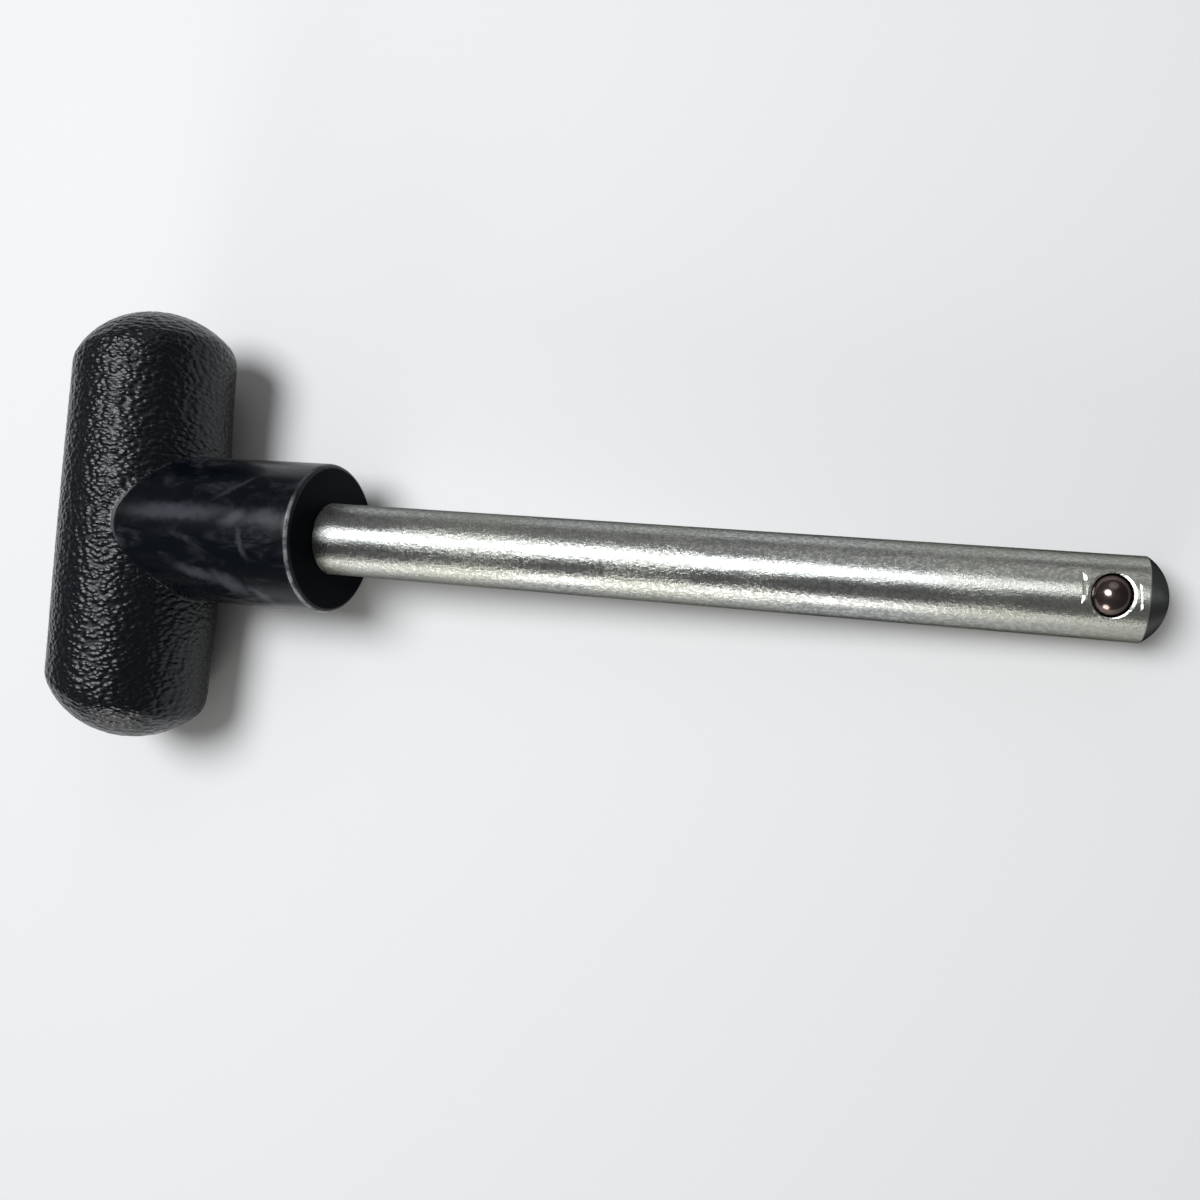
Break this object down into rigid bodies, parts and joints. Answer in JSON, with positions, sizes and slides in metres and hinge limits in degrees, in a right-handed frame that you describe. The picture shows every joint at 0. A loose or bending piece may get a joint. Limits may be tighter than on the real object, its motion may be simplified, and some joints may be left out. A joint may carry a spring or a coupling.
{
  "type": "weight stack pin",
  "caption": "T-handle selector pin for a weight stack: moulded grip and hub on a straight steel shaft with a domed tip and a sprung ball detent near its end.",
  "frame": {"origin": "middle of the hub's end face, where the shaft leaves the handle", "axes": "+X along the shaft towards its tip, Y along the T-bar, +Z towards the side where the ball stands out"},
  "size_m": [0.1442, 0.06, 0.0216],
  "materials": {
    "handle_plastic": "black, leather-grained grip, smooth satin hub",
    "shaft_steel": "bright zinc plate, finely mottled, with faint green and warm tints",
    "ball_steel": "polished hardened steel",
    "spring_steel": "drawn spring wire"
  },
  "bodies": {
    "pin": {"t_handle": "handle_plastic", "pin_shaft": "shaft_steel", "detent_spring": "spring_steel"},
    "ball": {"detent_ball": "ball_steel"}
  },
  "joints": [
    {"name": "ball_press", "type": "slide", "parent": "pin", "child": "ball", "axis": [0, 0, 1], "range_m": [-0.0012, 0], "stiffness_N_per_m": 1500, "springref_m": 0.0015, "deforming": ["detent_spring"]}
  ]
}
